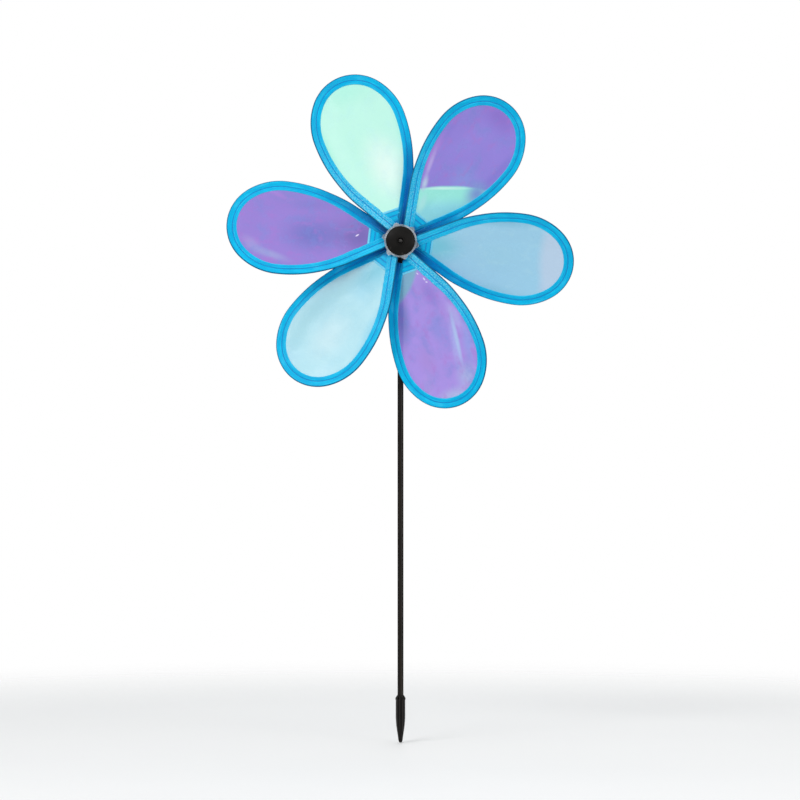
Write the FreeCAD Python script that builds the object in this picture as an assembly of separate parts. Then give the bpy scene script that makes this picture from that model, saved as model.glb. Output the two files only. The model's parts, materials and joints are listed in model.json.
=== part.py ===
import FreeCAD, Part
import os
import math

# A garden whirligig: a six-petal pinwheel of stiff film on a slim stake that pushes into the ground.
# Millimetres. +Z is up, the flower faces -Y and +X is to the right. The origin is on the stake's axis at the
# ground line, where the straight barrel of the spike begins under its collar.

# The whole object
HUB_HEIGHT = 507.0  # from the ground line up to the axis that the flower turns on
ROTOR_FRONT = 27.0  # from the stake's axis forward to the middle plane of the flower

# The petals, each flat and pitched about its own long axis; their wires are bent a little unevenly by hand
PETALS = 6
FIRST_PETAL = 51.0  # degrees, anticlockwise from +X as seen from the front
PETAL_LEAN = (0.0, -1.0, 2.4, 0.5, -1.8, 0.2)  # degrees off even spacing
PETAL_PITCH = (18.5, 11.0, 15.0, 18.0, 21.5, 22.5)  # degrees; the anticlockwise edge stands forward

# The petal's outline, from the tip to the root: tip arc, shoulder arc, side arc and a straight run
TIP_REACH = 192.4
TIP_RADIUS = 50.0
TIP_ANGLE = 50.3
SHOULDER_RADIUS = 66.0
FORWARD_SIDE = (148.0, 31.0)  # the side arc's radius and its angle in degrees, on the forward edge
REAR_SIDE = (160.0, 28.5)  # and on the rear edge, which comes to the hub farther out

# The folded tape that binds a petal's edge
BINDING_WIDTH = 11.2
BINDING_ROOT = 17.0  # how near the hub the tape comes, along the petal, before its two ends meet
TAIL_ROOT = 12.8  # the lapped and sewn ends go on this far, under the cap's rim
SHORT_PETAL = 4  # on this petal the rear end is cut off shorter
SHORT_ROOT = 19.5
SLEEVE_RADIUS = 1.2
SLEEVE_WIDTH = 3.2
TAPE_HALF = 0.6

# The film and the hem across its root
FILM_THICK = 0.3
FILM_INSET = 6.8
FILM_ROOT = 26.0
HEM_BOTTOM = 24.0
HEM_TOP = 36.0
HEM_GAP = 0.15

# The spring wire round each petal
WIRE_RADIUS = 0.7
WIRE_ROOT = 7.0
SOCKET_PLAY = 0.02

# The hub: distances forward of the flower's middle plane are positive
CORE_RADIUS = 13.5
CORE_HALF = 6.5
DISC_RADIUS = 18.0
DISC_THICK = 1.2
LUG_REACH = 20.5
LUG_WIDTH = 7.0
LUG_THICK = 3.0
LUG_FORWARD = 1.6  # from the flower's middle plane to the lug's rear face
LUG_TURN = -6.0  # degrees from the petal's own axis
SPIGOT_IN = 5.5
SPIGOT_OUT = 7.0
SPIGOT_DEPTH = 2.5

# The front cap and the axle pin
CAP_RADIUS = 16.0
CAP_RIM = 1.3
CAP_DOME = 2.6
CAP_BOSS = 4.8
CAP_RECESS = 3.4
CAP_RECESS_FLOOR = 2.5
CAP_HOLE = 2.0
PIN_RADIUS = 1.5
PIN_HEAD = 2.6
PIN_HEAD_HEIGHT = 1.6
PIN_HEAD_GAP = 0.2
RUNNING_PLAY = 0.06

# The mast head, the washer, the rod and the spike
WASHER_RADIUS = 4.0
WASHER_THICK = 1.5
WASHER_GAP = 0.2
MAST_RADIUS = 4.7
MAST_DROP = 30.0
MAST_BORE_TOP = -6.0
PIN_DEPTH = 2.5  # how far the pin passes behind the stake's axis
ROD_RADIUS = 3.3
ROD_BOTTOM = -15.0
BARREL_RADIUS = 5.25
BARREL_LENGTH = 20.0
COLLAR_RADIUS = 5.6
COLLAR_SHOULDER = 2.2
COLLAR_HEIGHT = 5.2
COLLAR_NOTCHES = 8
SPIKE_LENGTH = 47.0

FRONT_FACE = CORE_HALF + DISC_THICK
X_AXIS = FreeCAD.Vector(1, 0, 0)
Y_AXIS = FreeCAD.Vector(0, 1, 0)
Z_AXIS = FreeCAD.Vector(0, 0, 1)


def save(shape, name):
    """Write one piece as its own node."""
    shape.exportStep("parts/" + name + ".step")


def at_angle(centre, radius, degrees):
    """The point of a circle in the petal's plane."""
    turn = math.radians(degrees)
    return FreeCAD.Vector(centre.x + radius * math.cos(turn), centre.y + radius * math.sin(turn), 0)


def direction(degrees):
    """A unit vector in the petal's plane."""
    return at_angle(FreeCAD.Vector(0, 0, 0), 1, degrees)


def mirrored(point):
    return FreeCAD.Vector(point.x, -point.y, point.z)


def half_rim(inset, root, side_radius, side_angle):
    """One side of the petal's rim, moved inward by inset, from its foot at the distance root to the tip."""
    tip = FreeCAD.Vector(TIP_REACH - TIP_RADIUS, 0, 0)
    shoulder = at_angle(tip, TIP_RADIUS - SHOULDER_RADIUS, TIP_ANGLE)
    side = at_angle(shoulder, SHOULDER_RADIUS - side_radius, 90)
    side_end = at_angle(side, side_radius - inset, 90 + side_angle)
    foot = at_angle(side_end, (root - side_end.x) / math.cos(math.radians(side_angle)), side_angle)
    side_middle = at_angle(side, side_radius - inset, 90 + side_angle / 2)
    widest = at_angle(shoulder, SHOULDER_RADIUS - inset, 90)
    shoulder_middle = at_angle(shoulder, SHOULDER_RADIUS - inset, (90 + TIP_ANGLE) / 2)
    tip_end = at_angle(tip, TIP_RADIUS - inset, TIP_ANGLE)
    tip_middle = at_angle(tip, TIP_RADIUS - inset, TIP_ANGLE / 2)
    top = at_angle(tip, TIP_RADIUS - inset, 0)
    return [
        (foot, side_end),
        (side_end, side_middle, widest),
        (widest, shoulder_middle, tip_end),
        (tip_end, tip_middle, top),
    ]


def edge_through(points):
    """A line through two points or an arc through three."""
    if len(points) == 2:
        return Part.makeLine(*points)
    return Part.Arc(*points).toShape()


def rim_edges(inset, root, rear_root):
    """The petal's rim as edges from its forward foot over the tip to its rear foot, and those two feet."""
    forward = half_rim(inset, root, *FORWARD_SIDE)
    rear = half_rim(inset, rear_root, *REAR_SIDE)
    runs = forward + [tuple(mirrored(point) for point in reversed(run)) for run in reversed(rear)]
    return [edge_through(run) for run in runs], forward[0][0], mirrored(rear[0][0])


def prism(edges, half_thick):
    """A flat plate over a closed outline, centred on the petal's plane."""
    face = Part.Face(Part.Wire(edges))
    face.translate(FreeCAD.Vector(0, 0, -half_thick))
    return face.extrude(FreeCAD.Vector(0, 0, 2 * half_thick))


def plate(corners, half_thick):
    """A flat plate with straight sides."""
    points = [FreeCAD.Vector(x, y, 0) for x, y in corners]
    outline = Part.makePolygon(points + points[:1])
    return prism(outline.Edges, half_thick)


def swept(profile, edges):
    """A closed profile carried along the petal's rim, kept upright to the petal's plane."""
    sweep = Part.BRepOffsetAPI.MakePipeShell(Part.Wire(edges))
    sweep.setBiNormalMode(Z_AXIS)
    sweep.add(profile)
    sweep.build()
    sweep.makeSolid()
    return sweep.shape()


def wire_solid():
    edges, foot, rear_foot = rim_edges(SLEEVE_RADIUS, WIRE_ROOT, WIRE_ROOT)
    circle = Part.Wire([Part.makeCircle(WIRE_RADIUS, foot, direction(FORWARD_SIDE[1]))])
    return swept(circle, edges)


def film_solid():
    edges, foot, rear_foot = rim_edges(FILM_INSET, FILM_ROOT, FILM_ROOT)
    return prism(edges + [Part.makeLine(rear_foot, foot)], FILM_THICK / 2)


def binding_profile(foot, inward):
    """The tape's cross-section: a round sleeve at the edge and a flat flange inside it."""
    def spot(across, height):
        return foot + inward * across + Z_AXIS * height

    nose = [spot(SLEEVE_RADIUS, SLEEVE_RADIUS), spot(0, 0), spot(SLEEVE_RADIUS, -SLEEVE_RADIUS)]
    flange = [
        spot(SLEEVE_RADIUS, -SLEEVE_RADIUS),
        spot(SLEEVE_WIDTH, -TAPE_HALF),
        spot(BINDING_WIDTH, -TAPE_HALF),
        spot(BINDING_WIDTH, TAPE_HALF),
        spot(SLEEVE_WIDTH, TAPE_HALF),
        spot(SLEEVE_RADIUS, SLEEVE_RADIUS),
    ]
    return Part.Wire([Part.Arc(*nose).toShape()] + Part.makePolygon(flange).Edges)


def binding_tail(foot, slant, length):
    """The last straight piece of tape towards the hub, from the foot of an edge at that slant in degrees."""
    along = direction(slant)
    side = 1 if slant > 0 else -1
    inward = FreeCAD.Vector(along.y, -along.x, 0) * side
    return Part.Face(binding_profile(foot, inward)).extrude(along * -length)


def binding_solid(wire, film, short):
    """The whole folded tape round one petal; its two ends lap near the hub, unless the rear one is short."""
    rear_root = SHORT_ROOT if short else BINDING_ROOT
    edges, foot, rear_foot = rim_edges(0, BINDING_ROOT, rear_root)
    along = direction(FORWARD_SIDE[1])
    tape = swept(binding_profile(foot, FreeCAD.Vector(along.y, -along.x, 0)), edges)
    tape = tape.fuse(binding_tail(foot, FORWARD_SIDE[1], (BINDING_ROOT - TAIL_ROOT) / along.x))
    if not short:
        back = direction(-REAR_SIDE[1])
        tape = tape.fuse(binding_tail(rear_foot, -REAR_SIDE[1], (BINDING_ROOT - TAIL_ROOT) / back.x))
    return tape.cut(wire).cut(film)


def hem_solid(film):
    inset = BINDING_WIDTH + HEM_GAP
    edges, bottom, rear_bottom = rim_edges(inset, HEM_BOTTOM, HEM_BOTTOM)
    edges, top, rear_top = rim_edges(inset, HEM_TOP, HEM_TOP)
    corners = [(point.x, point.y) for point in (bottom, top, rear_top, rear_bottom)]
    return plate(corners, TAPE_HALF).cut(film)


def petal_angle(number):
    return FIRST_PETAL + number * 360.0 / PETALS + PETAL_LEAN[number]


def petal_place(number):
    """From the petal's plane (x along it, y across it) to its place on the hub."""
    upright = FreeCAD.Rotation(X_AXIS, 90)
    pitched = FreeCAD.Rotation(X_AXIS, PETAL_PITCH[number])
    turned = FreeCAD.Rotation(Y_AXIS, -petal_angle(number))
    centre = FreeCAD.Vector(0, -ROTOR_FRONT, HUB_HEIGHT)
    return FreeCAD.Placement(centre, turned.multiply(upright).multiply(pitched))


def placed(shape, number):
    moved = shape.copy()
    moved.Placement = petal_place(number)
    return moved


def axle_point(radius, forward):
    """A point beside the flower's axle: its radius, and its distance forward of the middle plane."""
    return FreeCAD.Vector(radius, -ROTOR_FRONT - forward, HUB_HEIGHT)


def turned_about_axle(profile, curves=()):
    """A solid turned about the flower's axle from points and, after them, from curves that close the outline."""
    points = [axle_point(radius, forward) for radius, forward in profile]
    edges = list(curves)
    if not curves:
        points.append(points[0])
    edges += Part.makePolygon(points).Edges
    face = Part.Face(Part.Wire(Part.__sortEdges__(edges)))
    return face.revolve(FreeCAD.Vector(0, 0, HUB_HEIGHT), Y_AXIS, 360)


def hub_lug():
    """One clear lug that stands out from the hub's core between a petal's two wires."""
    straight = LUG_REACH - LUG_WIDTH / 2
    bar = Part.makeBox(straight - 8, LUG_WIDTH, LUG_THICK, FreeCAD.Vector(8, -LUG_WIDTH / 2, LUG_FORWARD))
    end = Part.makeCylinder(LUG_WIDTH / 2, LUG_THICK, FreeCAD.Vector(straight, 0, LUG_FORWARD))
    return bar.fuse(end)


def lug_place(number):
    upright = FreeCAD.Rotation(X_AXIS, 90)
    turned = FreeCAD.Rotation(Y_AXIS, -(FIRST_PETAL + number * 360.0 / PETALS + LUG_TURN))
    return FreeCAD.Placement(FreeCAD.Vector(0, -ROTOR_FRONT, HUB_HEIGHT), turned.multiply(upright))


def wire_sockets():
    """Two blind sockets for the straight ends of one petal's wire."""
    edges, foot, rear_foot = rim_edges(SLEEVE_RADIUS, WIRE_ROOT, WIRE_ROOT)
    radius = WIRE_RADIUS + SOCKET_PLAY
    forward = Part.makeCylinder(radius, 3 * CORE_HALF, foot, direction(FORWARD_SIDE[1]))
    rear = Part.makeCylinder(radius, 3 * CORE_HALF, rear_foot, direction(-REAR_SIDE[1]))
    return forward.fuse(rear)


def hub_body():
    groove = SPIGOT_DEPTH + 0.1
    profile = [
        (PIN_RADIUS + RUNNING_PLAY, -CORE_HALF),
        (CORE_RADIUS - 0.8, -CORE_HALF),
        (CORE_RADIUS, 0.8 - CORE_HALF),
        (CORE_RADIUS, CORE_HALF),
        (DISC_RADIUS, CORE_HALF),
        (DISC_RADIUS, FRONT_FACE - 0.3),
        (DISC_RADIUS - 0.3, FRONT_FACE),
        (SPIGOT_OUT + SOCKET_PLAY, FRONT_FACE),
        (SPIGOT_OUT + SOCKET_PLAY, FRONT_FACE - groove),
        (SPIGOT_IN - SOCKET_PLAY, FRONT_FACE - groove),
        (SPIGOT_IN - SOCKET_PLAY, FRONT_FACE),
        (PIN_RADIUS + RUNNING_PLAY, FRONT_FACE),
    ]
    body = turned_about_axle(profile)
    for number in range(PETALS):
        lug = hub_lug()
        lug.Placement = lug_place(number)
        body = body.fuse(lug)
    for number in range(PETALS):
        body = body.cut(placed(wire_sockets(), number))
    return body.removeSplitter()


def front_cap():
    rim_top = FRONT_FACE + CAP_RIM
    dome_top = rim_top + CAP_DOME
    profile = [
        (CAP_BOSS, dome_top),
        (CAP_BOSS - 0.5, dome_top + 0.9),
        (CAP_RECESS, dome_top + 0.9),
        (CAP_RECESS, FRONT_FACE + CAP_RECESS_FLOOR),
        (CAP_HOLE, FRONT_FACE + CAP_RECESS_FLOOR),
        (CAP_HOLE, FRONT_FACE),
        (SPIGOT_IN, FRONT_FACE),
        (SPIGOT_IN, FRONT_FACE - SPIGOT_DEPTH),
        (SPIGOT_OUT, FRONT_FACE - SPIGOT_DEPTH),
        (SPIGOT_OUT, FRONT_FACE),
        (CAP_RADIUS, FRONT_FACE),
        (CAP_RADIUS, rim_top),
    ]
    half_way = axle_point((CAP_RADIUS + CAP_BOSS) / 2, rim_top + 0.74 * CAP_DOME)
    dome = Part.Arc(axle_point(CAP_RADIUS, rim_top), half_way, axle_point(CAP_BOSS, dome_top)).toShape()
    return turned_about_axle(profile, [dome])


def axle_pin():
    head = FRONT_FACE + CAP_RECESS_FLOOR + PIN_HEAD_GAP
    end = -ROTOR_FRONT - PIN_DEPTH
    profile = [
        (0, end),
        (PIN_RADIUS, end),
        (PIN_RADIUS, head),
        (PIN_HEAD, head),
        (PIN_HEAD, head + 0.45 * PIN_HEAD_HEIGHT),
        (0.72 * PIN_HEAD, head + 0.82 * PIN_HEAD_HEIGHT),
        (0, head + PIN_HEAD_HEIGHT),
    ]
    return turned_about_axle(profile)


def rear_washer():
    front = -CORE_HALF - WASHER_GAP
    back = front - WASHER_THICK
    bore = PIN_RADIUS + SOCKET_PLAY
    return turned_about_axle([(bore, back), (WASHER_RADIUS, back), (WASHER_RADIUS, front), (bore, front)])


def mast_head():
    """An elbow: a socket on top of the rod with a short arm forward that holds the axle pin."""
    bottom = HUB_HEIGHT - MAST_DROP
    arm_length = ROTOR_FRONT - CORE_HALF - WASHER_GAP - WASHER_THICK
    column = Part.makeCylinder(MAST_RADIUS, MAST_DROP, FreeCAD.Vector(0, 0, bottom))
    knuckle = Part.makeSphere(MAST_RADIUS, FreeCAD.Vector(0, 0, HUB_HEIGHT))
    arm = Part.makeCylinder(MAST_RADIUS, arm_length, FreeCAD.Vector(0, 0, HUB_HEIGHT), -Y_AXIS)
    bore_length = MAST_DROP + MAST_BORE_TOP
    bore = Part.makeCylinder(ROD_RADIUS + SOCKET_PLAY, bore_length, FreeCAD.Vector(0, 0, bottom))
    pin_hole = Part.makeCylinder(
        PIN_RADIUS + SOCKET_PLAY,
        ROTOR_FRONT + PIN_DEPTH,
        FreeCAD.Vector(0, PIN_DEPTH, HUB_HEIGHT),
        -Y_AXIS,
    )
    return column.fuse(knuckle).fuse(arm).removeSplitter().cut(bore).cut(pin_hole)


def stake_rod():
    length = HUB_HEIGHT + MAST_BORE_TOP - ROD_BOTTOM
    return Part.makeCylinder(ROD_RADIUS, length, FreeCAD.Vector(0, 0, ROD_BOTTOM))


def ground_spike():
    """A moulded plug: a notched collar with a sloping top, a straight barrel, then a taper to a blunt tip."""
    profile = [
        (0, -SPIKE_LENGTH),
        (1.2, -SPIKE_LENGTH),
        (1.9, 0.8 - SPIKE_LENGTH),
        (2.4, 2.8 - SPIKE_LENGTH),
        (3.1, 8.3 - SPIKE_LENGTH),
        (4.0, 14.0 - SPIKE_LENGTH),
        (4.7, 19.4 - SPIKE_LENGTH),
        (BARREL_RADIUS, -BARREL_LENGTH),
        (BARREL_RADIUS, 0),
        (COLLAR_RADIUS, 0.5),
        (COLLAR_RADIUS, COLLAR_SHOULDER),
        (COLLAR_RADIUS - 0.5, COLLAR_SHOULDER + 0.9),
        (ROD_RADIUS + 0.5, COLLAR_HEIGHT),
        (0, COLLAR_HEIGHT),
    ]
    points = [FreeCAD.Vector(radius, 0, height) for radius, height in profile]
    body = Part.Face(Part.makePolygon(points + points[:1])).revolve(FreeCAD.Vector(0, 0, 0), Z_AXIS, 360)
    for number in range(COLLAR_NOTCHES):
        notch = Part.makeBox(1.2, 1.2, 2.4, FreeCAD.Vector(4.8, -0.6, 0.8))
        notch.rotate(FreeCAD.Vector(0, 0, 0), Z_AXIS, (number + 0.5) * 360.0 / COLLAR_NOTCHES)
        body = body.cut(notch)
    bore = Part.makeCylinder(ROD_RADIUS + SOCKET_PLAY, 40, FreeCAD.Vector(0, 0, ROD_BOTTOM))
    return body.cut(bore)


def build_petals():
    wire = wire_solid()
    film = film_solid()
    binding = binding_solid(wire, film, False)
    short_binding = binding_solid(wire, film, True)
    hem = hem_solid(film)
    for number in range(PETALS):
        name = "petal_" + str(number + 1)
        save(placed(wire, number), name + "_wire")
        save(placed(film, number), name + "_film")
        save(placed(short_binding if number == SHORT_PETAL else binding, number), name + "_binding")
        save(placed(hem, number), name + "_hem")


os.makedirs("parts", exist_ok=True)
build_petals()
save(hub_body(), "hub_body")
save(front_cap(), "front_cap")
save(axle_pin(), "axle_pin")
save(rear_washer(), "rear_washer")
save(mast_head(), "mast_head")
save(stake_rod(), "stake_rod")
save(ground_spike(), "ground_spike")
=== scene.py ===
"""Looks of the garden whirligig: film petals bound in stitched blue tape, on a black stake.

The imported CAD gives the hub, cap, pin, washer, mast head, rod, spike and wires. The films, tape bindings,
hems and stitching are built here, each petal in its own plane: x runs along the petal away from the hub,
y across it towards its forward edge, and z out of its front face. Lengths are in metres.
"""

import json
import math

import bmesh
import bpy
from mathutils import Matrix, Vector, noise

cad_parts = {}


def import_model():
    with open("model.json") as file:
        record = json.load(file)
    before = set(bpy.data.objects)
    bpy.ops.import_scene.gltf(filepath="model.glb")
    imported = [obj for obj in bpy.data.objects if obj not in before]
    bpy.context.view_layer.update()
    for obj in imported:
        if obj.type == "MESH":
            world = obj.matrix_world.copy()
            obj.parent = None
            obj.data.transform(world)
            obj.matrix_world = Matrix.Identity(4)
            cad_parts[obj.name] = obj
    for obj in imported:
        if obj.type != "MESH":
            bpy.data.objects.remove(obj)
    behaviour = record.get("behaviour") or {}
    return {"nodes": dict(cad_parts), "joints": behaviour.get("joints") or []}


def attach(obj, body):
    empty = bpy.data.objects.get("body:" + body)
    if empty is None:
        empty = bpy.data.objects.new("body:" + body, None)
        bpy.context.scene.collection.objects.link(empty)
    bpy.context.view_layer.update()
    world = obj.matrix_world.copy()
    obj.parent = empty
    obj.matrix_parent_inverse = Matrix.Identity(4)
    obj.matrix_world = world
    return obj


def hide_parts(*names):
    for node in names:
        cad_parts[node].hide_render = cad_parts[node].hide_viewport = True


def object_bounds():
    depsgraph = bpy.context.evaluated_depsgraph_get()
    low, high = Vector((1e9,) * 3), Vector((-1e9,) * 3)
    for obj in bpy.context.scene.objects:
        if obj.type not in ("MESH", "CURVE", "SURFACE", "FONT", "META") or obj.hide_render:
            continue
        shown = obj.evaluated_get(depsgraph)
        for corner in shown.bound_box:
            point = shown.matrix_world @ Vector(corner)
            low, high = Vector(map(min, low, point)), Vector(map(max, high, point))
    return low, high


MM = 0.001
FLOOR_GAP = 0.5 * MM

# The petals
PETALS = 6
FIRST_PETAL = 51.0  # degrees, anticlockwise from +X as seen from the front
PETAL_LEAN = (0.0, -1.0, 2.4, 0.5, -1.8, 0.2)
PETAL_PITCH = (18.5, 11.0, 15.0, 18.0, 21.5, 22.5)

# The rim, from the tip to the root: tip arc, shoulder arc, side arc and a straight run
TIP_REACH = 192.4 * MM
TIP_RADIUS = 50.0 * MM
TIP_ANGLE = math.radians(50.3)
SHOULDER_RADIUS = 66.0 * MM
FORWARD, REAR = 1, -1
SIDE_RADIUS = {FORWARD: 148.0 * MM, REAR: 160.0 * MM}
SIDE_ANGLE = {FORWARD: math.radians(31.0), REAR: math.radians(28.5)}
TAIL_ROOT = 12.8 * MM  # where the tape's two lapped ends stop, under the cap's rim
SHORT_PETAL = 4  # on this petal the rear end is cut off shorter
SHORT_ROOT = 19.5 * MM
LAP = 0.35 * MM  # how far the forward end is lifted over the rear one

# The folded tape round the rim
TAPE_WIDTH = 11.2 * MM
SLEEVE_HALF = 1.25 * MM
SEAM_AT = 6.5 * MM  # from the outer edge in to the stitched seam
SEAM_HALF = 0.34 * MM
FLANGE_HALF = 0.52 * MM
RING_STEP = 1.2 * MM
STITCH_PITCH = 2.9 * MM
STITCH_LENGTH = 2.15 * MM
THREAD_RADIUS = 0.17 * MM

# Along one stitch: the share of its length, and its height and size there in thread radii
STITCH_PROFILE = (
    *((0, -0.3, 0.5), (0.1, 0.3, 0.9), (0.3, 0.75, 1)),
    *((0.7, 0.75, 1), (0.9, 0.3, 0.9), (1, -0.3, 0.5)),
)

# Where the tape's section is taken across its width, in millimetres: closest at its outer edge and its seam
SECTION_MM = (
    *(0, 0.05, 0.2, 0.5, 0.9, 1.25, 1.8, 2.5, 3.3, 4.1, 4.9),
    *(5.6, 6.1, 6.5, 6.9, 7.5, 8.3, 9.3, 10.2, 10.8, 11.1),
)

# How uneven the sewn tape is
TAUT = 0.35  # its slackness round the tip
LOOSE = 1.3  # how much slacker it gets near the hub
DRIFT = 0.3 * MM  # how far its inner edge wanders
ROOT_SPREAD = 1.1 * MM  # how far its outer edge spreads near the hub
STITCH_PULL = 0.10 * MM
PUCKER = 0.16 * MM
CRUMPLE = 0.13 * MM
DENT = 0.10 * MM

# The film and the hem across its root
FILM_INSET = 6.8 * MM
FILM_ROOT = 26.0 * MM
FILM_BELLY = 1.6 * MM
FILM_CREASE = 0.22 * MM
FILM_RIPPLE = 0.12 * MM
HEM_BOTTOM = 20.6 * MM
HEM_TOP = 36.0 * MM
HEM_HALF = 0.42 * MM
HEM_TUCK = 2.2 * MM  # how far the hem's ends run inside the side bindings
HEM_SEAMS = (28.6 * MM, 33.6 * MM)


# ---------------------------------------------------------------- geometry


def unit(angle):
    return Vector((math.cos(angle), math.sin(angle)))


TIP_CENTRE = Vector((TIP_REACH - TIP_RADIUS, 0))
SHOULDER_CENTRE = TIP_CENTRE + unit(TIP_ANGLE) * (TIP_RADIUS - SHOULDER_RADIUS)
TIP_RUN = TIP_RADIUS * TIP_ANGLE
SHOULDER_RUN = SHOULDER_RADIUS * (math.pi / 2 - TIP_ANGLE)


def side_end(edge):
    """An edge's side arc, as on the forward side: its centre, its end and the end's distance from the tip."""
    centre = SHOULDER_CENTRE + unit(math.pi / 2) * (SHOULDER_RADIUS - SIDE_RADIUS[edge])
    end = centre + unit(math.pi / 2 + SIDE_ANGLE[edge]) * SIDE_RADIUS[edge]
    return centre, end, TIP_RUN + SHOULDER_RUN + SIDE_RADIUS[edge] * SIDE_ANGLE[edge]


def run_to(edge, reach, inset=0.0):
    """How far along that edge, from the tip, its straight run comes down to that distance from the hub."""
    _, end, arcs = side_end(edge)
    start = end.x + inset * math.sin(SIDE_ANGLE[edge])
    return arcs + (start - reach) / math.cos(SIDE_ANGLE[edge])


def rim(run):
    """A point of the rim and the direction into the petal; run is from the tip, negative on the rear side."""
    along = abs(run)
    edge = FORWARD if run >= 0 else REAR
    centre, end, arcs = side_end(edge)
    if along < TIP_RUN:
        angle = along / TIP_RADIUS
        point = TIP_CENTRE + unit(angle) * TIP_RADIUS
    elif along < TIP_RUN + SHOULDER_RUN:
        angle = TIP_ANGLE + (along - TIP_RUN) / SHOULDER_RADIUS
        point = SHOULDER_CENTRE + unit(angle) * SHOULDER_RADIUS
    elif along < arcs:
        angle = math.pi / 2 + (along - TIP_RUN - SHOULDER_RUN) / SIDE_RADIUS[edge]
        point = centre + unit(angle) * SIDE_RADIUS[edge]
    else:
        angle = math.pi / 2 + SIDE_ANGLE[edge]
        point = end + unit(angle + math.pi / 2) * (along - arcs)
    inward = -unit(angle)
    if run < 0:
        return Vector((point.x, -point.y)), Vector((inward.x, -inward.y))
    return point, inward


def straight_edge(edge, reach, inset):
    """How far across the petal its straight run lies, inside a rim moved in by inset."""
    point, inward = rim(edge * run_to(edge, reach, inset))
    return point.y + inward.y * inset


def smooth(low, high, value):
    share = min(max((value - low) / (high - low), 0.0), 1.0)
    return share * share * (3 - 2 * share)


def bell(value, centre, spread):
    return math.exp(-(((value - centre) / spread) ** 2))


def wobble(x, y, z):
    """Smooth seeded noise from -1 to 1."""
    return noise.noise(Vector((x, y, z)))


def petal_matrix(number, hub):
    """From the petal's own plane to the row frame."""
    angle = math.radians(FIRST_PETAL + number * 360 / PETALS + PETAL_LEAN[number])
    pitch = math.radians(PETAL_PITCH[number])
    forward = Vector((0, -1, 0))
    along = Vector((math.cos(angle), 0, math.sin(angle)))
    tangent = Vector((-math.sin(angle), 0, math.cos(angle)))
    across = tangent * math.cos(pitch) + forward * math.sin(pitch)
    out = forward * math.cos(pitch) - tangent * math.sin(pitch)
    turn = Matrix((along, across, out)).transposed().to_4x4()
    return Matrix.Translation(hub) @ turn


def new_piece(name, verts, faces, materials, matrix, uvs=None):
    """A smooth-shaded mesh object; uvs gives each vertex's place on the cloth, in metres."""
    mesh = bpy.data.meshes.new(name)
    mesh.from_pydata(verts, [], faces)
    mesh.polygons.foreach_set("use_smooth", [True] * len(mesh.polygons))
    if uvs:
        layer = mesh.uv_layers.new(name="Cloth")
        for loop in mesh.loops:
            layer.data[loop.index].uv = uvs[loop.vertex_index]
    for material in materials:
        mesh.materials.append(material)
    mesh.update()
    piece = bpy.data.objects.new(name, mesh)
    bpy.context.scene.collection.objects.link(piece)
    piece.matrix_world = matrix
    return piece


def loft(rings):
    """Faces between equal closed rings of points, numbered ring after ring, and over the two ends."""
    count = len(rings[0])
    faces = []
    for ring in range(len(rings) - 1):
        for spot in range(count):
            a = ring * count + spot
            b = ring * count + (spot + 1) % count
            faces.append((a, b, b + count, a + count))
    faces.append(tuple(reversed(range(count))))
    faces.append(tuple((len(rings) - 1) * count + spot for spot in range(count)))
    return [point for ring in rings for point in ring], faces


# ---------------------------------------------------------------- petal pieces


def film_height(x, y, across, half, number):
    """How far the film stands off its plane: nothing in the tape's fold and under the hem, and beyond them a
    shallow belly, ripples and small creases near the root."""
    covered = TAPE_WIDTH - FILM_INSET
    gap = min(half * (1 - abs(across)), TIP_REACH - FILM_INSET - x)
    belly = FILM_BELLY * smooth(covered, covered + 26 * MM, gap) * smooth(HEM_TOP, HEM_TOP + 34 * MM, x)
    belly *= 1 + 0.5 * wobble(x * 14, y * 14, number * 7.3)
    free = smooth(covered, covered + 6 * MM, gap) * smooth(HEM_TOP, HEM_TOP + 4 * MM, x)
    fan = math.sin(9 * math.atan2(y, x - 8 * MM) + number)
    creases = FILM_CREASE * free * fan * math.exp(-(x - FILM_ROOT) / (28 * MM))
    ripple = FILM_RIPPLE * free * wobble(x * 60, y * 60, number * 3.1)
    return -belly + creases + ripple


def film_mesh(number):
    """A grid of straight rows across the film, from the tip down to its root under the hem."""
    rows, columns = 90, 48
    start = 0.4 * MM
    verts, uvs, faces = [], [], []
    for row in range(rows + 1):
        corners = []
        for edge in (REAR, FORWARD):
            end = run_to(edge, FILM_ROOT, FILM_INSET)
            point, inward = rim(edge * (start + (end - start) * row / rows))
            corners.append(point + inward * FILM_INSET)
        half = (corners[1] - corners[0]).length / 2
        for column in range(columns + 1):
            across = -math.cos(math.pi * column / columns)
            spot = corners[0].lerp(corners[1], (across + 1) / 2)
            verts.append((spot.x, spot.y, film_height(spot.x, spot.y, across, half, number)))
            uvs.append((spot.x, spot.y))
    for row in range(rows):
        for column in range(columns):
            a = row * (columns + 1) + column
            faces.append((a, a + columns + 1, a + columns + 2, a + 1))
    return verts, faces, uvs


def tape_half(across):
    """Half the folded tape's thickness: full over the wire, pinched at the seam, then a flat flange."""
    if across < SLEEVE_HALF:
        return math.sqrt(max(0.0, SLEEVE_HALF**2 - (SLEEVE_HALF - across) ** 2))
    if across < SEAM_AT:
        share = (across - SLEEVE_HALF) / (SEAM_AT - SLEEVE_HALF)
        return SEAM_HALF + (SLEEVE_HALF - SEAM_HALF) * (1 + math.cos(math.pi * share)) / 2
    share = (across - SEAM_AT) / (TAPE_WIDTH - SEAM_AT)
    rise = SEAM_HALF + (FLANGE_HALF - SEAM_HALF) * smooth(0, 0.3, share)
    return rise * math.sqrt(max(0.0, 1 - smooth(0.9, 1.0, share)))


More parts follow.
